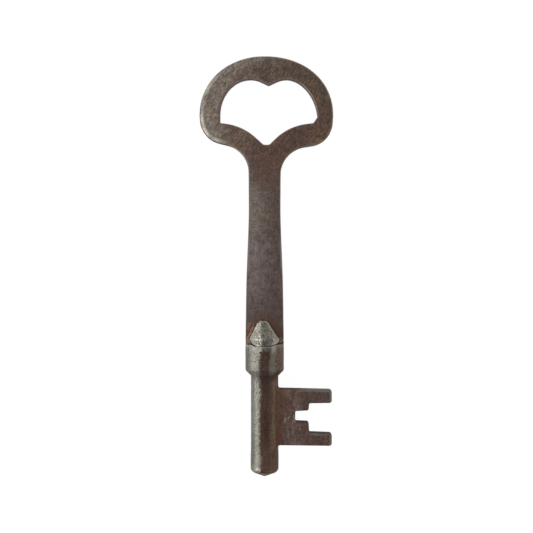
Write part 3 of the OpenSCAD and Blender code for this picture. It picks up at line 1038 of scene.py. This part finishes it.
def plate_material():
    """Brown patina over brushed steel, greyer on the left and bare on worn edges, whose light colour also
    paints their highlights, with a painted shadow round the lips.
    """
    m = Nodes("plate_patina")
    m.broad = m.noise(5, 3, 0.5, shift=3)
    m.blotch = m.noise(1.5, 4, 0.6, shift=41, distortion=0.3)
    m.mottle = m.noise(0.6, 4, 0.65, shift=11, distortion=0.4)
    m.fine = m.noise(0.3, 2, 0.6, shift=23)
    m.brushed = m.streaks(62, 0.28, 1.6, 5)
    m.edge = m.attribute("edge")
    m.from_eye = m.ellipse(EYE_CENTRE, EYE_LOOK)
    m.bow = m.y.ramp(BOW_START, BOW_FULL)
    place = m.x + (m.blotch - 0.5) * 4.0
    m.bow_place = place - largest(m.y - 61, -3.0) * 0.58
    rough_bow = m.bow * m.bow_place.ramp(2, -6, 0.2, 1.0)

    m.colour = m.mix(m.bow, stem_colour(m, place), bow_colour(m))
    neck = m.y.within(41, 46, 51, 55) * m.x.ramp(-1.5, -4.0, 0.85, 0.55)
    m.lay(neck, NECK)
    m.shade(plate_grain(m, rough_bow))
    specks = m.noise(0.5, 2, 0.5, shift=71).ramp(0.6, 0.69) * rough_bow.ramp(0, 1, 0.42, 0.45)
    m.lay(specks, DARK)
    stem_edges(m)
    plate_rust(m)
    round_lips(m)
    eye_side = m.from_eye.ramp(1.1, 1.04)
    wall = largest(m.edge.ramp(0.12, 0.02, 0, 0.3), m.edge.ramp(0.6, 0.25, 0, 0.8) * m.x.ramp(-5, -8))
    m.lay(wall * eye_side, EYE_WALL)

    # The bare rim and the bare line are laid in light colours that also paint the highlights of the rounded
    # edges
    rim = bow_rim_wear_and_highlight(m)
    bare = largest(rim * m.mottle.ramp(0.65, 0.4, 0.3, 0.95), bow_edge_wear_and_highlight(m, eye_side))
    m.lay(bare, m.mix(rim, BARE_EDGE_HIGHLIGHT, BARE_RIM_HIGHLIGHT))
    height = m.mottle * 0.5 + (m.fine * 0.3 + m.brushed * m.bow * 0.3)
    return m.finish(bare.ramp(0, 1, 0.0, 0.5), m.fine.spread(0.38, 0.5), height, 0.18)


def steel_nodes(name, drift):
    """The nodes that the round parts share. drift moves the bare part to the right, above the shank."""
    m = Nodes(name)
    m.seam = m.attribute("seam")
    m.broad = m.noise(2.6, 3, 0.5, stretch=(1, 2, 1), shift=5)
    m.blotch = m.noise(1.3, 3, 0.55, shift=61, distortion=0.3)
    m.mottle = m.noise(0.5, 4, 0.65, shift=31, distortion=0.5)
    m.fine = m.noise(0.25, 2, 0.6, shift=17)
    m.scored = m.streaks(80, 0.2, 1.2, 13)
    ragged = (m.blotch - 0.5) * 1.2 + (m.mottle - 0.5) * m.y.ramp(-9.5, -7.5, 0.5, 1.4)
    # The bare part's edge is shifted level by level to follow the edge of the left lamp's reflection, so
    # that it partly paints that light band
    shift = m.y.ramp(-15, -18.5, 0, 0.35) + m.y.ramp(-0.2, 0.2, 0.05, drift)
    shift = shift + m.y.within(-8, -6.5, -4, -2.5) * 0.28 - m.y.ramp(-21, -21.3, 0, 0.45)
    m.across = m.x + ragged - shift
    return m


def bare_share_painted_by_light(m, middle, right, right_x):
    """The share of bare steel: high on the left, and as given in the middle and, from right_x on, right. It
    partly paints light: bare steel lies on the lit left and in the right lamp's band, and falls off on the
    shaded far right.
    """
    share = m.blend(m.across.ramp(-1.7, -0.8), m.across.ramp(-4.2, -3.0, 0.5, 0.95), middle)
    right_share = m.across.ramp(2.1, 2.9, right, right * 0.2) * m.y.ramp(-13, -16, 1.0, 0.4)
    return m.blend(m.across.ramp(right_x, right_x + 0.5), share, right_share)


def pitted(m):
    """What pits and scores take from the share of bare steel, as a number below 0."""
    return m.mottle.ramp(0.62, 0.4, -0.2, 0.0) + m.scored.ramp(0.35, 0.6, -0.12, 0.0)


def steel_patina(m):
    """The brown patina of the round parts, lighter towards the tip, with painted shade on the tip's right
    side.
    """
    shade = m.mottle.spread(1.22, 0.78) * m.broad.spread(0.85, 1.15)
    shade = shade * m.y.ramp(LAST_START, LAST_FULL, 1.0, 1.35)
    shade = shade * m.blend(m.x.ramp(1.5, 2.5), 1.0, m.y.ramp(LAST_START, LAST_FULL, 1.0, 0.7))
    return m.scaled(m.mix(m.across.ramp(0.5, 2.0), STEEL_DARK, STEEL_BROWN), shade)


def steel_grain(m):
    """The bare steel's colour, with fine grain and scores."""
    return m.scaled(STEEL, m.fine.spread(0.88, 1.12) * m.scored.spread(0.84, 1.16))


def sleeve_corner_shade(m):
    """Painted shade in the corner between the shank and the ferrule."""
    painted_shade = m.y.within(-1.8, -0.1, 0.7, 1.9) * m.blotch.ramp(0.7, 0.4, 0.5, 1.0)
    return painted_shade * m.x.ramp(-2.2, -1.0, 0.85, 1.2)


def steel_specks(m):
    return m.noise(0.42, 2, 0.5, shift=83).ramp(0.62, 0.68) * m.x.ramp(-0.5, 0.5, 0.75, 0.35)


def finish_steel(m, share, painted_shade, specks):
    """Lays the painted shade and the dark specks over the steel, and finishes its material."""
    shade_and_specks = largest(painted_shade * 0.75, specks)
    metallic = (share - shade_and_specks * 0.8).clamped()
    height = m.mottle * 0.65 + m.fine * 0.35
    m.lay(shade_and_specks, DARK)
    return m.finish(metallic, m.fine.spread(0.22, 0.32), height, 0.1)


def lip_light_and_shade(m):
    """How light the lips' steel is, with painted light and shade: lighter on the left as a painted
    highlight, with painted shade in a crease above the foot and in a dark spot.
    """
    shade = m.mottle.ramp(0.35, 0.65, 0.7, 1.2) * m.across.ramp(-1.2, 0.2, 1.9, 1.5)
    shade = shade * m.blotch.ramp(0.35, 0.65, 0.78, 1.15) * m.y.ramp(11, 8.5, 1.0, 1.08)
    crease = largest(m.y.within(7.4, 7.7, 8.2, 8.6) * 0.25, m.spot((0.25, 7.7), 0.75) * 0.4)
    return shade * (1.0 - crease)


def lip_lights(m, on_lips):
    """The lips' highlights: along their outline, at the right corner and on the foot."""
    rim = on_lips * m.edge.within(0.1, 0.2, 0.3, 0.6) * m.x.ramp(-1.2, -0.2, 0.3, 1.0)
    corner = m.edge.ramp(1.3, 0.5) * m.x.ramp(1.4, 2.2) * m.y.ramp(10.5, 9.0) * m.mottle.ramp(0.4, 0.55)
    foot = m.y.ramp(8.1, 7.6) * m.x.within(-3.0, -2.5, -1.2, -0.7) * m.mottle.ramp(0.6, 0.45, 0.7, 0.95)
    foot = largest(foot, m.spot((2.0, 7.3), 0.6) * 0.8, m.spot((2.6, 8.2), 0.9) * 0.6)
    return largest(rim, corner * on_lips * 0.8, foot * on_lips)


def lip_edge_shadow(m, on_lips):
    """Painted shadow: the dark line round the lips and along the ferrule's rim."""
    at_rim = m.seam.ramp(0.22, 0.1) * m.x.ramp(-1.4, -0.6, 0.3, 1.0)
    return largest(m.edge.ramp(0.08, 0.02), at_rim) * on_lips * 1.2


def tip_shade_rings(m):
    """Painted shade on the point: the dark ring round it, and a fainter one above it that ends short of the
    left side.
    """
    point_ring = m.y.within(-22.95, -22.75, -22.35, -22.15) * m.across.ramp(-1.6, -0.6, 1.05, 1.25)
    upper_ring = m.y.within(-22.2, -22.05, -21.8, -21.62) * m.across.ramp(-1.6, -0.6, 0.9, 0.6)
    return largest(point_ring, upper_ring * m.x.ramp(-2.5, -1.9, 0.05, 1.0))


def shank_scars(m):
    """Dark scars down the edge of the shank's bare part."""
    scars = m.streaks(74, 0.2, 0.9, 45).ramp(0.52, 0.6) * m.x.within(-1.9, -1.2, -0.6, -0.1)
    return scars * m.y.within(-9.8, -8.6, -1.2, 0.0) * 0.8


def pale_patches_and_highlight(m):
    """Small pale patches at the tip's left, and a painted highlight at the top of the lips."""
    tip = largest(m.spot((-1.5, -21.35), 0.7, 0.4) * 0.75, m.spot((-2.2, -21.3), 1.0, 0.5) * 0.35)
    return largest(tip * m.mottle.ramp(0.62, 0.5, 0.3, 1.0), m.spot((-1.2, 12.3), 0.5, 0.5))


def painted_side_shade(m):
    """Painted shade on the last part of the shank: darker at both sides and along its right edge."""
    right = m.x.ramp(1.5, 2.4) * m.y.ramp(-15.5, LAST_FULL)
    left = m.x.ramp(-1.9, -2.5) * m.y.within(-21, -20, LAST_START, -13)
    m.shade(m.blend(right, 1.0, 0.76))
    m.shade(m.blend(left, 1.0, 0.8))
    m.lay(m.x.ramp(2.2, 2.9) * m.y.ramp(LAST_START, -16) * 0.5, DARK)


def shank_material():
    """Steel that is bare on the lit left and brown on the shaded right, with a line of rust there, painted
    light and shade on the lips, and painted shade round the point and at the ferrule.
    """
    m = steel_nodes("shank_steel", 0.28)
    m.edge = m.attribute("edge")
    on_lips = m.y.ramp(ferrule_h - 0.8, ferrule_h - 0.6)
    share = m.blend(on_lips, bare_share_painted_by_light(m, 0.05, 0.25, 1.3), m.across.ramp(-0.6, 0.4, 0.97, 0.7))
    share = (share + pitted(m)).clamped()
    steel = m.scaled(steel_grain(m), m.blend(on_lips, 1.0, lip_light_and_shade(m)))
    m.colour = m.mix(share, steel_patina(m), steel)
    line = (m.across + m.y.ramp(-14, LAST_FULL, 0, 0.5)).ramp(1.8, 2.7)
    line = line * m.broad.ramp(0.25, 0.55, 0.5, 1.0) * m.y.ramp(1, 0)
    m.lay(line * 0.8, RUST_LINE)
    m.lay(lip_lights(m, on_lips), LIP_LIGHT)
    m.lay(pale_patches_and_highlight(m), PALE_PATCH_AND_HIGHLIGHT)
    painted_side_shade(m)
    # Painted shade: in the ferrule's corner, round the point and along the lips' edges
    painted_shade = largest(sleeve_corner_shade(m), tip_shade_rings(m), lip_edge_shadow(m, on_lips))
    return finish_steel(m, share, painted_shade, largest(steel_specks(m), shank_scars(m)))


def sleeve_material(name, middle, right):
    """Steel like the shank's, lighter near the upper rim, with painted highlights in a light matt grey
    below it.
    """
    m = steel_nodes(name, 0.1)
    m.across = m.across - m.seam.ramp(1.6, 0.4, 0, 0.4)
    worn_top = m.seam.ramp(1.2, 0.5) * m.x.ramp(3.2, 1.8)
    share = bare_share_painted_by_light(m, middle, right, 0.8)
    share = (share + (pitted(m) + worn_top * m.x.ramp(1.2, 1.8, 0.1, 0.3))).clamped()
    steel = m.scaled(steel_grain(m), worn_top.ramp(0, 1, 1.0, 1.15))
    m.colour = m.mix(share, steel_patina(m), steel)
    # Painted highlights in a light matt grey: a line under the rim, a strip at the left edge of the bare
    # part, a patch in the right lamp's band, and a faint band near the rim
    rim = m.seam.ramp(0.34, 0.22) * m.mottle.ramp(0.6, 0.45, 0.4, 0.9) * m.x.ramp(-1.5, -0.5, 0.9, 0.45)
    strip = m.x.ramp(-2.5, -2.1) * m.across.ramp(-1.0, -1.3) * m.seam.ramp(2.2, 1.3, 0.2, 1.0)
    patch = m.x.within(1.5, 1.8, 2.3, 2.7) * m.seam.ramp(2.1, 0.7) * 0.55
    matt = largest(rim, strip, patch, m.seam.ramp(1.4, 0.3, 0.0, 0.2))
    m.lay(matt, m.scaled(STEEL_MATT_HIGHLIGHT, m.mottle.spread(1.25, 0.75)))
    return finish_steel(m, (share - matt).clamped(), sleeve_corner_shade(m), steel_specks(m))


def bit_patina(m):
    """The bit's patina: paler in the middle, dusky at the teeth and rusty towards the shank."""
    middle = m.x.within(4.4, 5.8, 7.4, 9.2)
    pale = m.patches.ramp(0.38, 0.58) * (middle * 0.85 + 0.15)
    pale = largest(pale, m.spot((7.0, -12.6), 2.2) * m.streak.ramp(0.6, 0.45) * 0.9)
    pale = pale * m.ellipse((5.8, -9.7), (1.2, 1.2)).ramp(0.7, 1.2, 0.4, 1.0)
    m.colour = m.mix(pale, BIT_DARK, BIT_PALE)
    dusky = m.x.ramp(8.5, 11.5) * m.y.ramp(-8, -6, 0.45, 1.0)
    m.lay(dusky * 0.8, BIT_DUSKY)
    rusty = m.x.ramp(7.5, 3.2) * m.patches.ramp(0.55, 0.4) * m.mottle.ramp(0.42, 0.58)
    m.lay(rusty * 0.6, BIT_RUST)


def bit_bevel_highlight(m):
    """Painted highlights on the bevels along the top, along the lower tooth and at both teeth's ends, laid
    as light bare steel.
    """
    top = m.x.ramp(6.5, 10.5, 0.1, 0.85) * m.y.ramp(-4.2, -3.7)
    lower = m.x.ramp(9.8, 10.6, 0, 0.55) * m.y.within(-13.9, -13.5, -12.9, -12.6)
    ends = m.x.ramp(bit_high.x - 0.7, bit_high.x - 0.35, 0, 0.8)
    from_rim = largest(m.edge.ramp(0.05, 0.2), m.y.ramp(-4.0, -3.6))
    bevel_highlight = largest(top, lower, ends) * m.edge.ramp(0.65, 0.45) * from_rim
    return bevel_highlight * m.mottle.ramp(0.66, 0.44, 0.4, 1.0)


def bit_marks(m):
    """Light strokes left of the notch, rusty spots at the root, dark rims of painted shade, and the notch's
    light corner.
    """
    strokes = largest(
        m.stroke((4.68, -10.2), 75, 2.0, 0.5),
        m.stroke((5.55, -9.65), 60, 1.3, 0.42, 0.8),
        m.stroke((4.85, -8.8), 86, 1.0, 0.36, 0.5),
        m.stroke((4.05, -8.7), 90, 0.9, 0.3, 0.35),
        m.stroke((6.5, -8.0), 58, 0.9, 0.36, 0.4)
    )
    m.lay(strokes * 0.85, BIT_STROKE)
    m.lay(m.stroke((6.0, -9.8), 78, 1.0, 0.4, 0.6), DARK)
    spotted = m.spot((4.7, -3.7), 1.7) * m.mottle.ramp(0.47, 0.56) * 0.7
    m.lay(spotted, BIT_SPOT)
    rim = m.edge.ramp(0.2, 0.04) * m.x.ramp(bit_high.x - 0.15, bit_high.x - 0.4) * 0.55
    m.lay(rim * largest(m.y.ramp(-3.6, -4.0), m.x.ramp(8.5, 6.5)), BIT_RIM_SHADE)
    notch_rim = m.spot((6.5, -9.9), 1.4) * m.edge.ramp(0.6, 0.3) * 0.6
    m.lay(notch_rim, NOTCH_RIM)


def bit_material():
    """Dark brown patina with grain along the key, bare bevels painted light as highlights, and painted
    shade on the rims.
    """
    m = Nodes("bit_patina")
    m.streak = m.noise(0.6, 4, 0.6, stretch=(1, 4, 1), shift=7)
    m.patches = m.noise(1.6, 3, 0.6, stretch=(1, 1.8, 1), shift=19, distortion=0.3)
    m.mottle = m.noise(0.55, 4, 0.65, shift=13, distortion=0.3)
    m.fine = m.noise(0.28, 2, 0.6, shift=29)
    m.edge = m.attribute("edge")
    grain = m.mottle * 0.5 + (m.streak * 0.3 + m.fine * 0.2)
    bit_patina(m)
    m.shade(grain.ramp(0.36, 0.64, 1.45, 0.6) * m.fine.spread(0.8, 1.2))
    bevel_highlight = bit_bevel_highlight(m)
    m.lay(bevel_highlight, BIT_BEVEL_HIGHLIGHT)
    bit_marks(m)
    return m.finish(bevel_highlight.ramp(0, 1, 0.0, 0.5), m.mottle.spread(0.38, 0.5), grain, 0.18)


def braze_material():
    """Tarnished braze, redder towards its lower end."""
    m = Nodes("tarnished_braze")
    mottle = m.noise(0.6, 4, 0.6, shift=3)
    m.colour = m.mix(mottle.ramp(0.35, 0.65), BRAZE_LIGHT, BRAZE_DARK)
    m.lay(m.y.ramp(-11, -13) * mottle.ramp(0.65, 0.4, 0.3, 0.8), BRAZE_RED)
    return m.finish(0.2, mottle.spread(0.4, 0.55), mottle, 0.08)


# The floor: half its width, its gap under the key, how far before the bow's end they meet, its grey, and
# its glow and grey as reflections see it and as the camera does
FLOOR_HALF = 1500.0
FLOOR_GAP = 0.02
FLOOR_MEETS = 0.8
FLOOR_GREY = 0.8
FLOOR_MIRRORED = (0.05, 0.5)
FLOOR_SEEN = (0.95, 0.1)

# The sky's strength as light, and its lightness overhead in reflections
SKY_STRENGTH = 0.8
SKY_OVERHEAD = 0.06


def add_camera():
    data = bpy.data.cameras.new("camera")
    data.angle = 2 * math.atan(VIEW_WIDTH / 2 / CAMERA_Z)
    camera = new_object("camera", data)
    camera.location = Vector((*VIEW_CENTRE, CAMERA_Z)) * MM
    scene.camera = camera


def add_softbox(name, angle, heading, distance, width, height, radiance):
    """A soft lamp that faces the key's middle, at an angle from straight up and a heading from +X."""
    lamp = bpy.data.lights.new(name, "AREA")
    lamp.shape = "RECTANGLE"
    lamp.size = width * MM
    lamp.size_y = height * MM
    lamp.energy = math.pi * lamp.size * lamp.size_y * radiance
    obj = new_object(name, lamp)
    tilt, turn = math.radians(angle), math.radians(heading)
    towards = Vector((math.sin(tilt) * math.cos(turn), math.sin(tilt) * math.sin(turn), math.cos(tilt)))
    obj.location = (Vector((0, VIEW_CENTRE[1], 0)) + towards * distance) * MM
    obj.rotation_euler = (0, tilt, turn)


def any_ray(tree, *kinds):
    """1 for rays of any of the kinds that Light Path names, and 0 for all others."""
    path = tree.add("LightPath")
    return largest(*[Number(tree, path.outputs[kind]) for kind in kinds])


def glowing(tree, glow, grey):
    """A matt floor of that grey with a glow of its own."""
    light = tree.add("Emission", (1, 1, 1), glow)
    matt = tree.add("BsdfDiffuse", (grey, grey, grey))
    return tree.add("AddShader", light, matt)


def add_floor():
    """A floor that touches the ferrule's underside and the far end of the bow. The camera sees it white."""
    rise = (ferrule_r - plate_half_t) / (plate_high.y - FLOOR_MEETS - ferrule_h)
    slope = math.atan(rise)
    across, along = math.cos(slope), math.sin(slope)
    corners = ((-1, -1), (1, -1), (1, 1), (-1, 1))
    corners = [(x * FLOOR_HALF, y * FLOOR_HALF) for x, y in corners]
    verts = [(x, y * across + ferrule_h, y * along - ferrule_r - FLOOR_GAP) for x, y in corners]
    floor = make_object("floor", verts, [(0, 1, 2, 3)])
    material = bpy.data.materials.new("white_floor")
    tree = Tree(material)
    output = tree.add("OutputMaterial")
    shader = glowing(tree, 0.0, FLOOR_GREY)
    mirrored = glowing(tree, *FLOOR_MIRRORED)
    seen = glowing(tree, *FLOOR_SEEN)
    shader = tree.choose(any_ray(tree, "Is Glossy Ray", "Is Transmission Ray"), shader, mirrored)
    shader = tree.choose(any_ray(tree, "Is Camera Ray"), shader, seen)
    tree.put(output.inputs[0], shader)
    floor.data.materials.append(material)


def set_world():
    """An even sky, white to the camera, and in reflections white at the horizon and dark overhead."""
    world = bpy.data.worlds.new("studio")
    scene.world = world
    tree = Tree(world)
    output = tree.add("OutputWorld")
    even = tree.add("Background", (1, 1, 1), SKY_STRENGTH)
    white = tree.add("Background", (1, 1, 1), 1.0)
    split = tree.add("SeparateXYZ", tree.add("TexCoord").outputs["Generated"])
    height = Number(tree, split.outputs["Z"])
    mirrored = tree.add("Background", height.ramp(0.02, 0.12, 1.0, SKY_OVERHEAD))
    shader = tree.choose(any_ray(tree, "Is Glossy Ray"), even, mirrored)
    shader = tree.choose(any_ray(tree, "Is Camera Ray", "Is Transmission Ray"), shader, white)
    tree.put(output.inputs[0], shader)


def dress(piece, node, material):
    """Puts a made piece in a CAD node's place."""
    piece.data.materials.append(material)
    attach(piece, "root")
    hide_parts(node)


add_camera()
scene.view_settings.view_transform = "Standard"
add_floor()
set_world()
add_softbox("left_softbox", angle=64, heading=180, distance=450, width=400, height=520, radiance=1.5)
add_softbox("right_softbox", angle=53, heading=0, distance=450, width=140, height=450, radiance=0.4)

dress(make_bow_plate(), "bow_plate", plate_material())
dress(make_shank(), "shank", shank_material())
dress(make_ferrule(), "ferrule", sleeve_material("ferrule_steel", 0.08, 0.6))
dress(make_bit(), "bit", bit_material())
dress(make_braze(), "bit_braze", braze_material())

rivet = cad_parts["tang_rivet"]
rivet.data.materials.clear()
rivet.data.materials.append(sleeve_material("rivet_steel", 0.6, 0.6))
